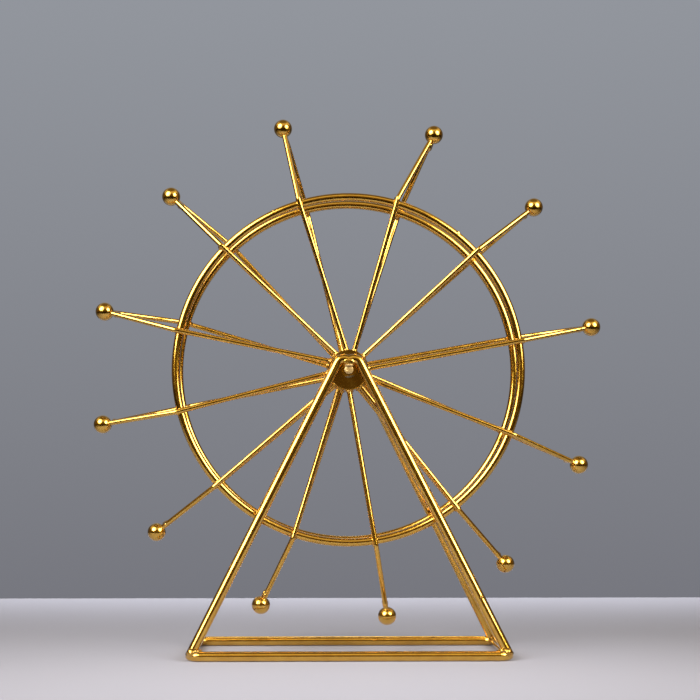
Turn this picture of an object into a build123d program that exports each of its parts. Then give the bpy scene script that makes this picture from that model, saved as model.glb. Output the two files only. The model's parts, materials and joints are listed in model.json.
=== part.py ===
from build123d import *
from math import asin, atan2, cos, degrees, hypot, pi, radians, sin
import os

# Tabletop ferris wheel ornament of bent and welded gold wire, with a wheel that turns by hand.
# Millimetres. +X is to the viewer's right, +Y runs from the front to the back and +Z is up.
# The origin is on the table, under the middle of the wheel. The wheel's axis is the Y direction.

# Stand
stand_wire = 5.5            # diameter of the wire of the base loop and both A-frames
base_length = 171.0         # along X, between the wire's centres
base_depth = 67.0           # along Y, between the wire's centres
base_corner_radius = 5.0    # of the wire's centre
shoulder_reach = 4.8        # from the middle to where a leg's line meets the top of an A-frame
shoulder_rise = 1.3         # of that corner above the dip in which the top lies on the axle
top_bend_radius = 4.0       # of the wire's centre, at both shoulders and in the dip
foot_sink = 3.0             # how far a leg's line runs on below the top of the base wire
foot_cut_height = 4.1       # a leg's end is cut level at this height, then coped to the base wire
axle_diameter = 5.0
axle_overhang = 1.2         # past the centre of an A-frame's wire, at each end

# Wheel
hub_height = 156.7
hub_diameter = 22.4
hub_length = 23.0
hub_bevel = 0.7
sleeve_diameter = 8.6
sleeve_lip = 0.7            # past each face of the hub
rim_radius = 94.5           # of the wire's centre
rim_wire = 4.5
rim_spacing = 25.5          # between the centres of the two rims
spoke_wire = 2.8
spoke_edge = 0.1            # left on the hub between a spoke and the bevel
spoke_overrun = 2.6         # past the rim's centre, before a spoke bends in to its ball
spoke_bend_radius = 3.0
spoke_root = 3.4            # how far a spoke is drawn into the hub before it is coped to the drum
ball_diameter = 10.2
ball_circle_radius = 138.5  # from the wheel's axis to the centres of the balls

# Fits
running_clearance = 0.08    # radial, sleeve on axle
end_play = 0.55             # each end of the sleeve to the A-frame beside it
weld_gap = 0.05             # between two pieces that are welded together

# The wheel is made by hand, so its twelve arms are uneven. One row for each arm, clockwise from
# the upper left: the ball's angle from +X in degrees and how far it stands outside the balls'
# circle, then how far clockwise of that angle the wires run: front wire at the hub and at the
# rim, rear wire at the hub and at the rim.
ARMS = [
    (105.0, 0.7, 1.7, -2.4, -0.2, 1.8),
    (70.0, 1.3, -0.6, -6.6, -0.4, -3.2),
    (41.4, -0.5, -0.4, -2.3, -0.9, -1.1),
    (10.3, -0.7, 1.0, 1.2, -2.3, -2.6),
    (-22.0, 0.3, 0.2, -0.7, -2.9, -2.1),
    (-50.7, -0.1, 0.5, 2.0, 0.9, 0.4),
    (-80.9, -0.7, 1.4, 0.6, 0.3, -0.8),
    (-110.4, 0.0, 1.5, -3.4, -0.5, -3.9),
    (-139.9, 0.1, -0.6, -1.6, -1.5, -1.3),
    (-167.7, 0.5, 0.8, -2.6, -1.4, 0.3),
    (166.3, 0.2, 2.4, -1.5, 0.7, 5.5),
    (135.4, -0.9, 1.6, -0.7, 1.0, 5.0),
]

sleeve_length = hub_length + 2 * sleeve_lip
frame_top_y = sleeve_length / 2 + end_play + stand_wire / 2
dip_height = hub_height + axle_diameter / 2 + weld_gap + stand_wire / 2
corner_inset = base_corner_radius * (1 - cos(pi / 4))
foot_x = base_length / 2 - corner_inset
foot_y = base_depth / 2 - corner_inset
spoke_seat_y = hub_length / 2 - hub_bevel - spoke_edge - spoke_wire / 2
spoke_rim_y = rim_spacing / 2 + (rim_wire + spoke_wire) / 2 + weld_gap

ALONG_Y = Rot(90, 0, 0)


def tube(path, diameter):
    """Round wire along a path."""
    section = Plane(origin=path @ 0, z_dir=path % 0) * Circle(diameter / 2)
    return sweep(section, path=path)


def at_hub(solid, y=0.0):
    """A solid drawn about +Z, turned onto the wheel's axis."""
    return Pos(0, y, hub_height) * ALONG_Y * solid


def wheel_point(radius, angle, y):
    """Point at a radius and an angle in degrees about the wheel's axis."""
    turn = radians(angle)
    return Vector(radius * cos(turn), y, hub_height + radius * sin(turn))


def base_path():
    outline = RectangleRounded(base_length, base_depth, base_corner_radius)
    return Pos(0, 0, stand_wire / 2) * outline.face().outer_wire()


def base_loop():
    return tube(base_path(), stand_wire)


def frame_path(side):
    """Centre line of an A-frame: two straight legs, and a short top that dips onto the axle."""
    rise = hypot(foot_y - frame_top_y, dip_height - stand_wire)
    lean_y = side * (frame_top_y - foot_y) / rise
    lean_z = (dip_height - stand_wire) / rise

    def on_frame(x, up):
        return Vector(x, side * foot_y + up * lean_y, stand_wire + up * lean_z)

    shoulder_up = rise + shoulder_rise
    leg = hypot(foot_x - shoulder_reach, shoulder_up)
    end_x = foot_x + foot_sink * (foot_x - shoulder_reach) / leg
    end_up = -foot_sink * shoulder_up / leg
    dip_angle = atan2(shoulder_rise, shoulder_reach)
    dip_up = rise - top_bend_radius * (1 / cos(dip_angle) - 1)
    corners = [
        (-end_x, end_up),
        (-shoulder_reach, shoulder_up),
        (0, dip_up),
        (shoulder_reach, shoulder_up),
        (end_x, end_up),
    ]
    return FilletPolyline(*[on_frame(x, up) for x, up in corners], radius=top_bend_radius)


def a_frame(side):
    """A-frame whose feet are coped to the base wire that they are welded on."""
    frame = tube(frame_path(side), stand_wire)
    below_cut = Pos(0, 0, foot_cut_height / 2) * Box(2 * base_length, 2 * base_depth, foot_cut_height)
    return frame - below_cut - tube(base_path(), stand_wire + 2 * weld_gap)


def axle_rod():
    return at_hub(Cylinder(axle_diameter / 2, 2 * (frame_top_y + axle_overhang)))


def hub_drum():
    drum = Cylinder(hub_diameter / 2, hub_length)
    drum = chamfer(drum.edges().filter_by(GeomType.CIRCLE), hub_bevel)
    return at_hub(drum - Cylinder(sleeve_diameter / 2 + weld_gap, hub_length))


def hub_sleeve():
    outside = Cylinder(sleeve_diameter / 2, sleeve_length)
    return at_hub(outside - Cylinder(axle_diameter / 2 + running_clearance, sleeve_length))


def rim(side):
    return at_hub(Torus(rim_radius, rim_wire / 2), side * rim_spacing / 2)


def spoke(side, ball_angle, outset, hub_drift, rim_drift):
    """Wire from the hub, over the outer face of a rim, and bent in to the ball."""
    at_rim = wheel_point(rim_radius, ball_angle - degrees(rim_drift / rim_radius), side * spoke_rim_y)
    hub_angle = ball_angle - degrees(asin(2 * hub_drift / hub_diameter))
    at_drum = wheel_point(hub_diameter / 2, hub_angle, side * spoke_seat_y)
    along = (at_rim - at_drum).normalized()
    inner_end = at_drum - along * spoke_root
    bend = at_rim + along * spoke_overrun
    ball_centre = wheel_point(ball_circle_radius + outset, ball_angle, 0)
    wire = tube(FilletPolyline(inner_end, bend, ball_centre, radius=spoke_bend_radius), spoke_wire)
    drum_space = at_hub(Cylinder(hub_diameter / 2 + weld_gap, hub_length))
    ball_space = Pos(ball_centre) * Sphere(ball_diameter / 2 + weld_gap)
    return wire - drum_space - ball_space


def ball(angle, outset):
    return Pos(wheel_point(ball_circle_radius + outset, angle, 0)) * Sphere(ball_diameter / 2)


def parts():
    made = {
        "base_loop": base_loop(),
        "front_a_frame": a_frame(-1),
        "rear_a_frame": a_frame(1),
        "axle_rod": axle_rod(),
        "hub_drum": hub_drum(),
        "hub_sleeve": hub_sleeve(),
        "front_rim": rim(-1),
        "rear_rim": rim(1),
    }
    for number, (angle, outset, *drifts) in enumerate(ARMS, start=1):
        made[f"front_spoke_{number:02d}"] = spoke(-1, angle, outset, *drifts[:2])
        made[f"rear_spoke_{number:02d}"] = spoke(1, angle, outset, *drifts[2:])
        made[f"ball_{number:02d}"] = ball(angle, outset)
    return made


os.makedirs("parts", exist_ok=True)
for name, shape in parts().items():
    export_step(shape, f"parts/{name}.step")
    print(name, len(shape.solids()), round(shape.volume, 2))
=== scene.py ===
import json
from math import cos, pi, radians, sin, tau

import bmesh
import bpy
from mathutils import Matrix, Vector, noise


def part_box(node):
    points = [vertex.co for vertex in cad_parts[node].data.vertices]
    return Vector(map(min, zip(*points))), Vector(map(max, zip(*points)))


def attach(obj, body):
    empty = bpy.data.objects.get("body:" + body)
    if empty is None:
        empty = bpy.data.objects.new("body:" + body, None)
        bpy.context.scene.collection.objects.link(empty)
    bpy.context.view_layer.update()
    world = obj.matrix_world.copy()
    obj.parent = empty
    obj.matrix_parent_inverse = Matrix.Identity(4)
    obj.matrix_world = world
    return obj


# Tabletop ferris wheel ornament of welded wire under gold lacquer.
# Metres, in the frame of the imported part: +X to the viewer's right, +Y to the back, +Z up.
# What is given in millimetres is turned to metres with MM where it is used.

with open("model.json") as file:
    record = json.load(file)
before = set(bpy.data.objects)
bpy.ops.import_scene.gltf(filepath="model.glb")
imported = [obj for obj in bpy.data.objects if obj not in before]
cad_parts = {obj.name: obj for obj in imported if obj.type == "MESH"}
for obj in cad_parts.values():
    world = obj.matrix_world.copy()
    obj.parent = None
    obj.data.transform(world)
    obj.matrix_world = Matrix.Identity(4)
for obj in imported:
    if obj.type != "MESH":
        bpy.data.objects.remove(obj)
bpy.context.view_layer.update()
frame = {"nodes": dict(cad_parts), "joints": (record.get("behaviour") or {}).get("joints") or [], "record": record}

MM = 0.001
X_AXIS = Vector((1.0, 0.0, 0.0))
Y_AXIS = Vector((0.0, 1.0, 0.0))
Z_AXIS = Vector((0.0, 0.0, 1.0))

# Camera, as fitted to the photograph
PHOTO_PX = 700.0
FOCAL_PX = 1512.0
AXIS_PX = (323.5, 453.7)            # where the lens axis meets the photograph
CAMERA_AT = Vector((-28.2, -839.6, 110.8)) * MM
CAMERA_TURN = radians(-1.0)
SENSOR_MM = 36.0

# Lamps: places in millimetres, sizes in metres, power in watts and spread in degrees.
# The third lamp lights only the table behind the object.
LAMPS = {
    "left_softbox": {
        "at": (-473, -506, 546), "to": (0, 0, 157), "size": 0.68, "power": 2.2, "spread": 75,
    },
    "right_softbox": {
        "at": (409, -403, 424), "to": (0, 0, 157), "size": 0.46, "power": 0.95, "spread": 75,
    },
    "table_light": {
        "at": (0, 640, 1000), "to": (0, 640, 0), "size": 1.2, "power": 8.0, "spread": 60,
        "depth": 0.3,
    },
}

# Room
FLOOR_BELOW = (0.024, 0.014, 0.004)     # in front of the table, under its edge
ROOM_FRONT = (0.160, 0.094, 0.020)
ROOM_GLOW = (0.92, 0.76, 0.44)          # between the two softboxes, over the camera
ROOM_ABOVE = (0.20, 0.15, 0.07)
WALL_LOW = (0.181, 0.184, 0.209)
WALL_HIGH = (0.290, 0.306, 0.340)
WALL_SIDE = (0.080, 0.078, 0.080)       # to both sides of what the camera sees
# Where one of them passes into the next, as a part of the direction's unit vector
FLOOR_TO_FRONT = (-0.10, 0.10)          # upwards
FRONT_TO_GLOW = (0.36, 0.68)            # upwards
LOW_TO_HIGH = (-0.10, 0.29)             # upwards
TO_ABOVE = (0.76, 0.94)                 # upwards
WALL_TO_SIDE = (0.28, 0.75)             # sideways
FRONT_TO_WALL = (0.0, 0.55)             # backwards

# Table
TABLE_SIZE = Vector((1.8, 0.65, 0.02))
TABLE_BEVEL = 0.004
TABLE_COLOUR = (0.385, 0.385, 0.452)
TABLE_SHADE = 0.96                      # of the colour, where the table is darkest
TABLE_CLOUD = (5.0, 3.0)
TABLE_ROUGHNESS = 0.7
TABLE_SPECULAR = 0.1

# Colours of the lacquer and of the metal under it
GOLD_LIGHT = (0.74, 0.430, 0.044)
GOLD_DEEP = (0.65, 0.350, 0.024)
# Painted shade: the hub's lacquer is darker than the gold of the rest, for the dark room mirrored in the drum's
# face
HUB_PAINTED_SHADE_LIGHT = (0.50, 0.29, 0.040)
HUB_PAINTED_SHADE_DEEP = (0.41, 0.22, 0.025)
WELD_LIGHT = (0.74, 0.44, 0.075)
WELD_DEEP = (0.48, 0.25, 0.030)
# Painted reflection: the paler tan of the axle's ends stands in for the table mirrored in them
AXLE_END_REFLECTION_LIGHT = (0.62, 0.44, 0.20)
AXLE_END_REFLECTION_DEEP = (0.42, 0.27, 0.09)
BARE_STEEL = (0.62, 0.64, 0.70)

# Finishes by material slot: name, light and deep colour, least and most roughness, strength of
# the orange peel, and weight of the top coat
FINISHES = {
    "stand_wire": ("stand_lacquer", GOLD_LIGHT, GOLD_DEEP, (0.12, 0.20), 0.06, 1.0),
    "axle": ("axle_lacquer", GOLD_LIGHT, GOLD_DEEP, (0.30, 0.42), 0.40, 0.3),
    # painted shade: the hub's lacquer is darker than the gold of the rest
    "hub": ("hub_lacquer_painted_shade", HUB_PAINTED_SHADE_LIGHT, HUB_PAINTED_SHADE_DEEP, (0.18, 0.25), 0.06, 0.3),
    "rim_wire": ("rim_lacquer", GOLD_LIGHT, GOLD_DEEP, (0.12, 0.20), 0.06, 1.0),
    "spoke_wire": ("spoke_lacquer", GOLD_LIGHT, GOLD_DEEP, (0.13, 0.22), 0.06, 1.0),
    "ball": ("ball_lacquer", GOLD_LIGHT, GOLD_DEEP, (0.12, 0.18), 0.04, 1.0),
}
WELD_FINISH = ("weld_lacquer", WELD_LIGHT, WELD_DEEP, (0.16, 0.34), 0.50, 0.5)
# painted reflection: paler tan lacquer of the axle's ends; their roughness is their own
AXLE_END_REFLECTION_FINISH = ("axle_end_painted_reflection_lacquer", AXLE_END_REFLECTION_LIGHT, AXLE_END_REFLECTION_DEEP, (0.46, 0.62), 1.0, 0.2)
SLEEVE_FINISH = ("sleeve_lacquer", GOLD_LIGHT, GOLD_DEEP, (0.20, 0.30), 0.10, 0.3)

# Pattern of the lacquer: scale for a metre and detail of each noise, and the part of it in use
CLOUD, CLOUD_RANGE = (140.0, 4.0), (0.35, 0.65)
PATCHES, PATCH_RANGE = (420.0, 5.0), (0.35, 0.7)
PEEL = (330.0, 3.0)
PEEL_DEPTH = 0.0002
COAT_ROUGHNESS = 0.08
COAT_IOR = 1.6
WORN_SIDE = (0.2, 0.0, -0.98)           # of the sleeve, where it is rubbed to bare steel
WORN_FROM, WORN_TO = 3.0, 3.6           # millimetres from the axis, that way

# Weld metal, in millimetres. A drop's three radii are along the wire that it sits on, across
# that wire and along the wheel's axis. At the feet and the axle they are along X, Z and Y.
UNEVEN = 0.25                           # share by which a drop's surface swells and sinks
GRAIN = 1.7                             # of the noise over a drop with a radius of 1
DROP_SIZES = (0.85, 1.15)               # limits of the size, of 1
INNER_DROP_SIZES = (0.6, 1.0)
DROP_SWAY = (-0.5, 0.5)                 # limits of the place along the rim
VOXEL = 0.28
STUB_SIDES = 20
ARM_COUNT = 12
SPOKE_RADIUS = 1.4
SPOKE_ROOT_BAND = 1.5                   # over the drum, where a spoke's inner end is measured
SPOKE_BEND_BAND = 2.6                   # over the rim's centre line, where its bend is

CROSSING_STUB = (-4.5, 2.4)             # along the spoke, from the rim's centre line
CROSSING_REACH = 4.5                    # along the rim, to both sides of the spoke
CROSSING_SKIN = 0.12                    # by which the metal round the rim stays under its surface
CROSSING_DROP = 2.1                     # from the rim's centre line to a drop
CROSSING_INSET = 1.5                    # from the spoke's axis to a drop, towards the rim
OUTER_DROP = (1.5, 1.7, 1.3)
INNER_DROP = (1.4, 1.6, 1.2)

HUB_STUB = (-0.8, 1.6)                  # along the spoke, from the drum's surface
HUB_MOUND = (0.9, 2.0, 1.9)

BALL_DROP_GAP, BALL_DROP = 0.2, (1.5, 1.5, 3.3)
BALL_NECK_GAP, BALL_NECK = 2.0, (2.6, 1.75, 4.1)

# Each closing seam of the front rim: angle in degrees, and radii outwards, round and forwards
SEAMS = {
    "front_rim_seam_upper_left": (115.6, (1.3, 1.0, 1.2)),
    "front_rim_seam_upper_right": (51.3, (1.4, 1.5, 1.2)),
}
SEAM_OUT, SEAM_FORWARD = 1.0, 1.15      # from the rim's centre line

SPATTER = (1.1, 0.9, 0.8)
SPATTER_UNEVEN = 0.3
SPOKE_SPATTER_RADIUS = 15.5             # from the wheel's axis
SPOKE_SPATTER_FORWARD = 1.1             # from the spoke's axis
LEG_SPATTER_PART = 0.18                 # of the way up the leg
LEG_SPATTER_SHIFT = (0.9, -2.2, 0.0)    # from the leg's axis

# The right rear corner of the stand. The other corners mirror it.
LEG_FOOT = (84.04, 32.04, 5.5)          # where a leg's line meets the top of the base wire
LEG_TOP = (4.8, 15.4, 163.3)            # and the corner at the A-frame's top
LEG_STUB, LEG_STUB_RADIUS = (-2.0, 6.0), 2.66
BASE_STUB_HEIGHT, BASE_STUB_RADIUS = 2.75, 2.60
BASE_STUBS = (
    ((84.04, 32.04), (80.5, 33.5)),
    ((80.5, 33.5), (75.0, 33.5)),
    ((84.04, 32.04), (85.5, 28.5)),
    ((85.5, 28.5), (85.5, 24.0)),
)
# Each drop of a front foot: centre, radii and unevenness. The rear feet have none.
FRONT_FOOT_DROPS = (
    ((80.4, 32.4, 4.9), (2.2, 1.5, 1.0), UNEVEN),
    ((84.4, 29.4, 4.9), (1.7, 2.0, 1.1), UNEVEN),
    ((84.4, 33.0, 4.6), (2.8, 2.9, 3.1), 0.12),
    ((82.0, 34.3, 5.6), (2.0, 1.3, 1.3), UNEVEN),
)
AXLE_BEAD_AT = (17.65, 4.4)             # towards the side and up, from the hub's centre
AXLE_BEAD = (3.2, 1.8, 0.95)
AXLE_BEAD_UNEVEN = 0.15
# Each drop of an axle's end: across, outwards and up from the end's centre, radii and unevenness
AXLE_END_DROPS = (
    ((0.0, 0.0, 0.0), (2.55, 2.55, 0.55), 0.10),
    ((0.1, 0.3, 2.3), (2.3, 0.9, 1.5), 0.25),
    ((-0.6, 0.0, -0.9), (1.2, 1.0, 0.7), 0.30),
)


# ---------------------------------------------------------------- materials

def add_node(tree, kind, **settings):
    """New node. Each setting goes to the node's own property of that name, or else to an input."""
    made = tree.nodes.new(kind)
    for name, value in settings.items():
        if hasattr(made, name):
            setattr(made, name, value)
        else:
            made.inputs[name.replace("_", " ")].default_value = value
    return made


def noise_field(tree, coords, scale, detail):
    field = add_node(tree, "ShaderNodeTexNoise", Scale=scale, Detail=detail)
    tree.links.new(coords, field.inputs["Vector"])
    return field.outputs["Fac"]


def remap(tree, value, span, to_span=(0.0, 1.0), kind="LINEAR"):
    mapped = add_node(tree, "ShaderNodeMapRange", interpolation_type=kind,
                      From_Min=span[0], From_Max=span[1], To_Min=to_span[0], To_Max=to_span[1])
    tree.links.new(value, mapped.inputs["Value"])
    return mapped.outputs["Result"]


def mix_colour(tree, factor, first, second):
    mixed = add_node(tree, "ShaderNodeMix", data_type="RGBA")
    tree.links.new(factor, mixed.inputs["Factor"])
    for socket, colour in ((mixed.inputs[6], first), (mixed.inputs[7], second)):
        if isinstance(colour, tuple):
            socket.default_value = (*colour, 1.0)
        else:
            tree.links.new(colour, socket)
    return mixed.outputs[2]


def new_material(name):
    """Material with nodes, with its tree, its shader and the object's own coordinates."""
    material = bpy.data.materials.new(name)
    material.use_nodes = True
    tree = material.node_tree
    coords = add_node(tree, "ShaderNodeTexCoord").outputs["Object"]
    return material, tree, tree.nodes["Principled BSDF"], coords


def lacquer(name, light, deep, roughness, peel, coat):
    """Gold lacquer: clouded in colour, patchy in gloss, with orange peel and a clear top coat."""
    material, tree, shader, coords = new_material(name)
    cloud = remap(tree, noise_field(tree, coords, *CLOUD), CLOUD_RANGE)
    tree.links.new(mix_colour(tree, cloud, deep, light), shader.inputs["Base Color"])
    patches = noise_field(tree, coords, *PATCHES)
    tree.links.new(remap(tree, patches, PATCH_RANGE, roughness), shader.inputs["Roughness"])
    skin = add_node(tree, "ShaderNodeBump", Strength=peel, Distance=PEEL_DEPTH)
    tree.links.new(noise_field(tree, coords, *PEEL), skin.inputs["Height"])
    tree.links.new(skin.outputs["Normal"], shader.inputs["Normal"])
    shader.inputs["Metallic"].default_value = 1.0
    shader.inputs["Coat Weight"].default_value = coat
    shader.inputs["Coat Roughness"].default_value = COAT_ROUGHNESS
    shader.inputs["Coat IOR"].default_value = COAT_IOR
    return material


def table_material():
    material, tree, shader, coords = new_material("pale_table")
    darkest = tuple(TABLE_SHADE * part for part in TABLE_COLOUR)
    cloud = noise_field(tree, coords, *TABLE_CLOUD)
    tree.links.new(mix_colour(tree, cloud, darkest, TABLE_COLOUR), shader.inputs["Base Color"])
    shader.inputs["Roughness"].default_value = TABLE_ROUGHNESS
    shader.inputs["Specular IOR Level"].default_value = TABLE_SPECULAR
    return material


def worn_sleeve():
    """Lacquer rubbed through to bare steel along one side of the sleeve's end."""
    material = lacquer(*SLEEVE_FINISH)
    tree = material.node_tree
    base = tree.nodes["Principled BSDF"].inputs["Base Color"]
    gold = base.links[0].from_socket
    from_hub = add_node(tree, "ShaderNodeVectorMath", operation="SUBTRACT")
    from_hub.inputs[1].default_value = hub_centre
    tree.links.new(add_node(tree, "ShaderNodeTexCoord").outputs["Object"], from_hub.inputs[0])
    to_worn_side = add_node(tree, "ShaderNodeVectorMath", operation="DOT_PRODUCT")
    to_worn_side.inputs[1].default_value = WORN_SIDE
    tree.links.new(from_hub.outputs["Vector"], to_worn_side.inputs[0])
    worn = remap(tree, to_worn_side.outputs["Value"], (WORN_FROM * MM, WORN_TO * MM))
    tree.links.new(mix_colour(tree, worn, gold, BARE_STEEL), base)
    return material


def dress_cad_nodes():
    finishes = {slot: lacquer(*settings) for slot, settings in FINISHES.items()}
    slots = {part["node"]: part["material_slot"] for part in frame["record"]["subparts"]}
    for name, node in frame["nodes"].items():
        for slot in node.material_slots:
            slot.material = finishes[slots[name]]
    frame["nodes"]["hub_sleeve"].material_slots[0].material = worn_sleeve()


# ---------------------------------------------------------------- camera, light and table

def add_camera():
    data = bpy.data.cameras.new("camera")
    data.sensor_width = SENSOR_MM
    data.lens = SENSOR_MM * FOCAL_PX / PHOTO_PX
    data.shift_x = (PHOTO_PX / 2 - AXIS_PX[0]) / PHOTO_PX
    data.shift_y = (AXIS_PX[1] - PHOTO_PX / 2) / PHOTO_PX
    camera = bpy.data.objects.new("camera", data)
    camera.location = CAMERA_AT
    camera.rotation_euler = (pi / 2, 0.0, CAMERA_TURN)
    bpy.context.scene.collection.objects.link(camera)
    bpy.context.scene.camera = camera
    bpy.context.scene.view_settings.view_transform = "Standard"


def add_lamp(name, at, to, size, power, spread, depth=None):
    """Round area lamp, or a rectangular one where a depth is given."""
    data = bpy.data.lights.new(name, "AREA")
    data.shape = "DISK" if depth is None else "RECTANGLE"
    data.size = size
    if depth is not None:
        data.size_y = depth
    data.energy = power
    data.spread = radians(spread)
    lamp = bpy.data.objects.new(name, data)
    lamp.location = Vector(at) * MM
    lamp.rotation_euler = (Vector(to) - Vector(at)).to_track_quat("-Z", "Y").to_euler()
    lamp.visible_camera = False
    bpy.context.scene.collection.objects.link(lamp)


def add_room():
    """A grey wall behind, a dark room with a glow over the camera in front, and a ceiling.

    The metal shows all of it. The camera sees only the wall, whichever way it looks.
    """
    world = bpy.data.worlds.new("room")
    world.use_nodes = True
    tree = world.node_tree
    split = add_node(tree, "ShaderNodeSeparateXYZ")
    tree.links.new(add_node(tree, "ShaderNodeTexCoord").outputs["Generated"], split.inputs[0])
    up, back = split.outputs["Z"], split.outputs["Y"]
    sideways = add_node(tree, "ShaderNodeMath", operation="ABSOLUTE")
    tree.links.new(split.outputs["X"], sideways.inputs[0])

    def blend(value, span, first, second, kind="SMOOTHSTEP"):
        return mix_colour(tree, remap(tree, value, span, kind=kind), first, second)

    front = blend(up, FLOOR_TO_FRONT, FLOOR_BELOW, ROOM_FRONT)
    front = blend(up, FRONT_TO_GLOW, front, ROOM_GLOW)
    backdrop = blend(up, LOW_TO_HIGH, WALL_LOW, WALL_HIGH, "LINEAR")
    wall = blend(sideways.outputs[0], WALL_TO_SIDE, backdrop, WALL_SIDE)
    around = blend(back, FRONT_TO_WALL, front, wall)
    room = blend(up, TO_ABOVE, around, ROOM_ABOVE)
    seen_directly = add_node(tree, "ShaderNodeLightPath").outputs["Is Camera Ray"]
    shown = mix_colour(tree, seen_directly, room, backdrop)
    tree.links.new(shown, tree.nodes["Background"].inputs["Color"])
    bpy.context.scene.world = world


def add_table():
    built = bmesh.new()
    bmesh.ops.create_cube(built, size=1.0)
    bmesh.ops.scale(built, vec=TABLE_SIZE, verts=built.verts)
    bmesh.ops.translate(built, vec=(0, 0, -TABLE_SIZE.z / 2), verts=built.verts)
    bmesh.ops.bevel(built, geom=built.edges[:], offset=TABLE_BEVEL, segments=4, affect="EDGES")
    table = mesh_object("table", built, table_material())


# ---------------------------------------------------------------- mesh helpers

def mesh_object(name, built, material):
    """Turns a bmesh into a smooth-shaded object, and frees the bmesh."""
    bmesh.ops.recalc_face_normals(built, faces=built.faces)
    mesh = bpy.data.meshes.new(name)
    built.to_mesh(mesh)
    built.free()
    mesh.materials.append(material)
    mesh.shade_smooth()
    made = bpy.data.objects.new(name, mesh)
    bpy.context.scene.collection.objects.link(made)
    return made


def basis(along, up=Y_AXIS):
    """Rotation whose X is along and whose Z is as near to up as it can be."""
    x = along.normalized()
    y = up.cross(x).normalized()
    return Matrix((x, y, x.cross(y))).transposed()


def add_drop(built, centre, turn, radii, uneven=UNEVEN):
    """Frozen drop of weld metal: an uneven ellipsoid. Its radii are in millimetres."""
    made = bmesh.ops.create_icosphere(built, subdivisions=3, radius=1.0)
    seed = centre / MM
    for vertex in made["verts"]:
        way = vertex.co.normalized()
        swell = 1.0 + uneven * noise.noise(GRAIN * way + seed)
        local = Vector(radius * MM * swell * part for radius, part in zip(radii, way))
        vertex.co = centre + turn @ local


def add_stub(built, start, end, radius):
    """Short closed length of wire. Its radius is in millimetres."""
    along = (end - start).normalized()
    turn = basis(end - start, Y_AXIS if abs(along.y) < 0.9 else Z_AXIS)
    angles = [tau * step / STUB_SIDES for step in range(STUB_SIDES)]
    ways = [turn @ (radius * MM * Vector((0.0, cos(angle), sin(angle)))) for angle in angles]
    rings = [[built.verts.new(point + way) for way in ways] for point in (start, end)]
    for step in range(STUB_SIDES):
        after = (step + 1) % STUB_SIDES
        built.faces.new((rings[0][step], rings[0][after], rings[1][after], rings[1][step]))
    built.faces.new(rings[0])
    built.faces.new(rings[1])


def weld(name, body, built, rounds, voxel=VOXEL, finish=None):
    """Melts the drops and stubs of a bmesh into one skin of weld metal, and rides it on a body."""
    made = mesh_object(name, built, finish or weld_finish)
    melt = made.modifiers.new("melt", "REMESH")
    melt.mode = "VOXEL"
    melt.voxel_size = voxel * MM
    flow = made.modifiers.new("flow", "SMOOTH")
    flow.factor = 0.5
    flow.iterations = rounds
    evaluated = made.evaluated_get(bpy.context.evaluated_depsgraph_get())
    melted = bpy.data.meshes.new_from_object(evaluated)
    made.modifiers.clear()
    old = made.data
    made.data = melted
    bpy.data.meshes.remove(old)
    melted.name = name
    melted.shade_smooth()
    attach(made, body)


# ---------------------------------------------------------------- places, from the frame

hub_centre = Vector(frame["joints"][0]["pos_m"])
SIDES = {"front": -1.0, "rear": 1.0}


def middle(name):
    low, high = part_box(name)
    return (low + high) / 2


rim_low, rim_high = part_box("front_rim")
rim_wire = rim_high.y - rim_low.y
rim_radius = (rim_high.x - rim_low.x - rim_wire) / 2
rim_y = abs(middle("front_rim").y)
drum_low, drum_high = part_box("hub_drum")
drum_radius = (drum_high.x - drum_low.x) / 2
ball_low, ball_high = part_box("ball_01")
ball_radius = (ball_high.x - ball_low.x) / 2
axle_end_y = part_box("axle_rod")[1].y


def radius_of(point):
    return Vector((point.x - hub_centre.x, point.z - hub_centre.z)).length


def ring_middle(name, nearest, farthest):
    """Middle of the spoke's vertices between two radii of the wheel."""
    points = [vertex.co for vertex in frame["nodes"][name].data.vertices]
    ring = [point for point in points if nearest < radius_of(point) < farthest]
    low = Vector(min(point[axis] for point in ring) for axis in range(3))
    high = Vector(max(point[axis] for point in ring) for axis in range(3))
    return (low + high) / 2


def spoke_line(side, number):
    """Axis of the straight run of a spoke: a point near the hub, and the direction outwards."""
    name = f"{side}_spoke_{number:02d}"
    start = ring_middle(name, 0.0, drum_radius + SPOKE_ROOT_BAND * MM)
    end = ring_middle(name, rim_radius, rim_radius + SPOKE_BEND_BAND * MM)
    return start, (end - start).normalized()


def at_radius(line, radius):
    """Point of a line at a radius from the wheel's axis."""
    start, along = line
    out = Vector((start.x, 0, start.z - hub_centre.z))
    slope = Vector((along.x, 0, along.z))
    a, b, c = slope.dot(slope), out.dot(slope), out.dot(out) - radius * radius
    return start + along * ((-b + (b * b - a * c) ** 0.5) / a)


def on_wheel(radius, angle, y):
    """Point at a radius and an angle in degrees about the wheel's axis."""
    return Vector((radius * cos(radians(angle)), y, hub_centre.z + radius * sin(radians(angle))))


def wobble(seed, limits):
    """Repeatable value between two limits. Each use has seeds of its own."""
    low, high = limits
    share = 0.5 + noise.noise(Vector((7.31 * seed, 3.7, 1.9)))
    return low + (high - low) * min(1.0, max(0.0, share))


# ---------------------------------------------------------------- weld metal on the wheel

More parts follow.
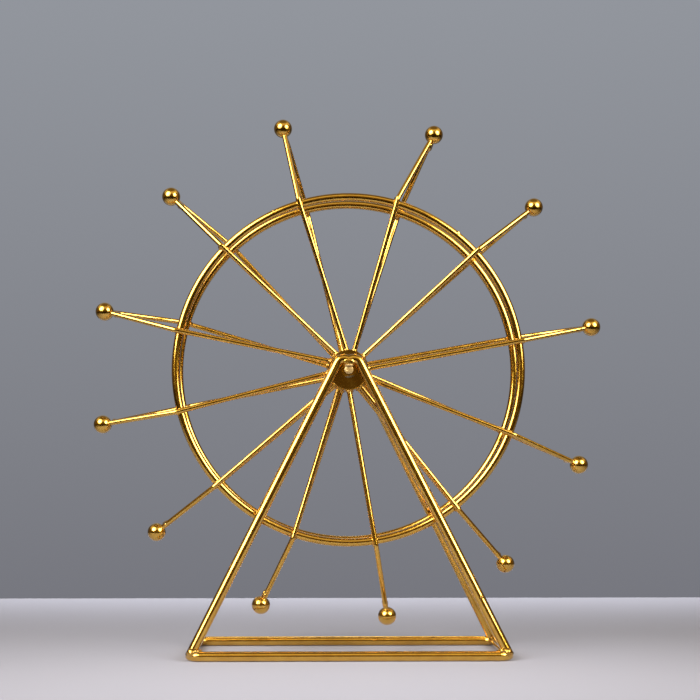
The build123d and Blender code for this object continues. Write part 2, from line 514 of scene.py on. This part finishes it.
def add_rim_welds(side, sign):
    """Weld metal where each spoke crosses a rim: a drop outside it and a smaller one inside."""
    built = bmesh.new()
    to_rim = Vector((0.0, -sign, 0.0))
    for number in range(1, ARM_COUNT + 1):
        line = spoke_line(side, number)
        turn = basis(line[1])
        along_rim = turn @ Y_AXIS
        inner_end, outer_end = (at_radius(line, rim_radius + reach * MM) for reach in CROSSING_STUB)
        add_stub(built, inner_end, outer_end, SPOKE_RADIUS)
        across = at_radius(line, rim_radius)
        seat = across + to_rim * (abs(across.y) - rim_y)
        rim_way = along_rim * CROSSING_REACH * MM
        add_stub(built, seat - rim_way, seat + rim_way, rim_wire / 2 / MM - CROSSING_SKIN)
        sway = wobble(number + 20 * sign, DROP_SWAY) * MM
        outer = wobble(number + 5 * sign, DROP_SIZES)
        inner = wobble(number + 9 * sign, INNER_DROP_SIZES)
        for out, size, (long, wide, deep) in ((1, outer, OUTER_DROP), (-1, inner, INNER_DROP)):
            on_spoke = at_radius(line, rim_radius + out * CROSSING_DROP * MM)
            centre = on_spoke + to_rim * CROSSING_INSET * MM + out * along_rim * sway
            add_drop(built, centre, turn, (long * size, wide * size, deep))
    weld(f"{side}_rim_welds", "wheel", built, rounds=4)


def add_hub_welds(side, sign):
    """Low mound of weld metal round each spoke where it stands on the drum."""
    built = bmesh.new()
    for number in range(1, ARM_COUNT + 1):
        line = spoke_line(side, number)
        root = at_radius(line, drum_radius)
        inner_end, outer_end = (root + line[1] * reach * MM for reach in HUB_STUB)
        add_stub(built, inner_end, outer_end, SPOKE_RADIUS)
        size = wobble(number + 31 * sign, DROP_SIZES)
        add_drop(built, root, basis(line[1]), [radius * size for radius in HUB_MOUND])
    weld(f"{side}_hub_welds", "wheel", built, rounds=3)


def add_ball_welds():
    """Weld metal between the ends of each arm's two wires and its ball."""
    built = bmesh.new()
    for number in range(1, ARM_COUNT + 1):
        centre = middle(f"ball_{number:02d}")
        inward = (hub_centre - centre).normalized()
        turn = basis(inward)
        size = wobble(number + 57, DROP_SIZES)
        long, wide, deep = BALL_DROP
        seat = centre + inward * (ball_radius + BALL_DROP_GAP * MM)
        add_drop(built, seat, turn, (long * size, wide * size, deep))
        long, wide, deep = BALL_NECK
        seat = centre + inward * (ball_radius + BALL_NECK_GAP * MM)
        add_drop(built, seat, turn, (long * size, wide, deep))
    weld("ball_welds", "wheel", built, rounds=4)


def add_seam(name, angle, radii):
    """Ridge of metal where the wire of the front rim was closed."""
    built = bmesh.new()
    outwards = on_wheel(1.0, angle, 0.0) - on_wheel(0.0, angle, 0.0)
    shift = outwards * SEAM_OUT * MM - Y_AXIS * SEAM_FORWARD * MM
    add_drop(built, on_wheel(rim_radius, angle, -rim_y) + shift, basis(outwards), radii)
    weld(name, "wheel", built, rounds=2, voxel=0.15)


def add_spatter(name, body, seat, along):
    """Drop of weld metal that landed on a wire."""
    built = bmesh.new()
    add_drop(built, seat, basis(along), SPATTER, SPATTER_UNEVEN)
    weld(name, body, built, rounds=2, voxel=0.12)


def add_spoke_spatter():
    line = spoke_line("rear", 1)
    seat = at_radius(line, SPOKE_SPATTER_RADIUS * MM) - Y_AXIS * SPOKE_SPATTER_FORWARD * MM
    add_spatter("rear_spoke_01_spatter", "wheel", seat, line[1])


# ---------------------------------------------------------------- weld metal on the stand

def add_foot_weld(name, x_sign, y_sign):
    """Weld metal where a leg stands on a corner of the base loop."""
    def here(x, y, z):
        return Vector((x * x_sign, y * y_sign, z)) * MM

    built = bmesh.new()
    foot, top = here(*LEG_FOOT), here(*LEG_TOP)
    up_leg = (top - foot).normalized()
    below, above = (foot + up_leg * reach * MM for reach in LEG_STUB)
    add_stub(built, below, above, LEG_STUB_RADIUS)
    for stub in BASE_STUBS:
        near, far = (here(x, y, BASE_STUB_HEIGHT) for x, y in stub)
        add_stub(built, near, far, BASE_STUB_RADIUS)
    for centre, radii, uneven in FRONT_FOOT_DROPS if y_sign < 0 else ():
        add_drop(built, here(*centre), basis(X_AXIS), radii, uneven)
    weld(name, "stand", built, rounds=6)


def add_leg_spatter():
    foot, top = (Vector((x, -y, z)) * MM for x, y, z in (LEG_FOOT, LEG_TOP))
    seat = foot.lerp(top, LEG_SPATTER_PART) + Vector(LEG_SPATTER_SHIFT) * MM
    add_spatter("front_right_leg_spatter", "stand", seat, top - foot)


def add_axle_weld(side, sign):
    """Bead that holds the dip of an A-frame on the end of the axle."""
    built = bmesh.new()
    out, up = AXLE_BEAD_AT
    centre = hub_centre + Vector((0.0, sign * out, up)) * MM
    add_drop(built, centre, basis(X_AXIS), AXLE_BEAD, AXLE_BEAD_UNEVEN)
    weld(f"{side}_axle_weld", "stand", built, rounds=3, voxel=0.2)


def add_axle_end(side, sign):
    """Rough, burred end of the axle, with weld metal run down over its top. Its paler tan colour is a painted
    reflection of the table.
    """
    built = bmesh.new()
    end = hub_centre + Vector((0.0, sign * axle_end_y, 0.0))
    for (across, out, up), radii, uneven in AXLE_END_DROPS:
        centre = end + Vector((across, sign * out, up)) * MM
        add_drop(built, centre, basis(X_AXIS), radii, uneven)
    weld(f"{side}_axle_end", "stand", built, rounds=2, voxel=0.15, finish=axle_end_reflection_finish)


dress_cad_nodes()
weld_finish = lacquer(*WELD_FINISH)
axle_end_reflection_finish = lacquer(*AXLE_END_REFLECTION_FINISH)
add_camera()
add_room()
for lamp_name, settings in LAMPS.items():
    add_lamp(lamp_name, **settings)
add_table()
for side, sign in SIDES.items():
    add_rim_welds(side, sign)
    add_hub_welds(side, sign)
    add_axle_weld(side, sign)
    add_axle_end(side, sign)
add_ball_welds()
for x_sign, hand in ((-1, "left"), (1, "right")):
    for side, sign in SIDES.items():
        add_foot_weld(f"{side}_{hand}_foot_weld", x_sign, sign)
add_spoke_spatter()
add_leg_spatter()
for seam_name, (angle, radii) in SEAMS.items():
    add_seam(seam_name, angle, radii)
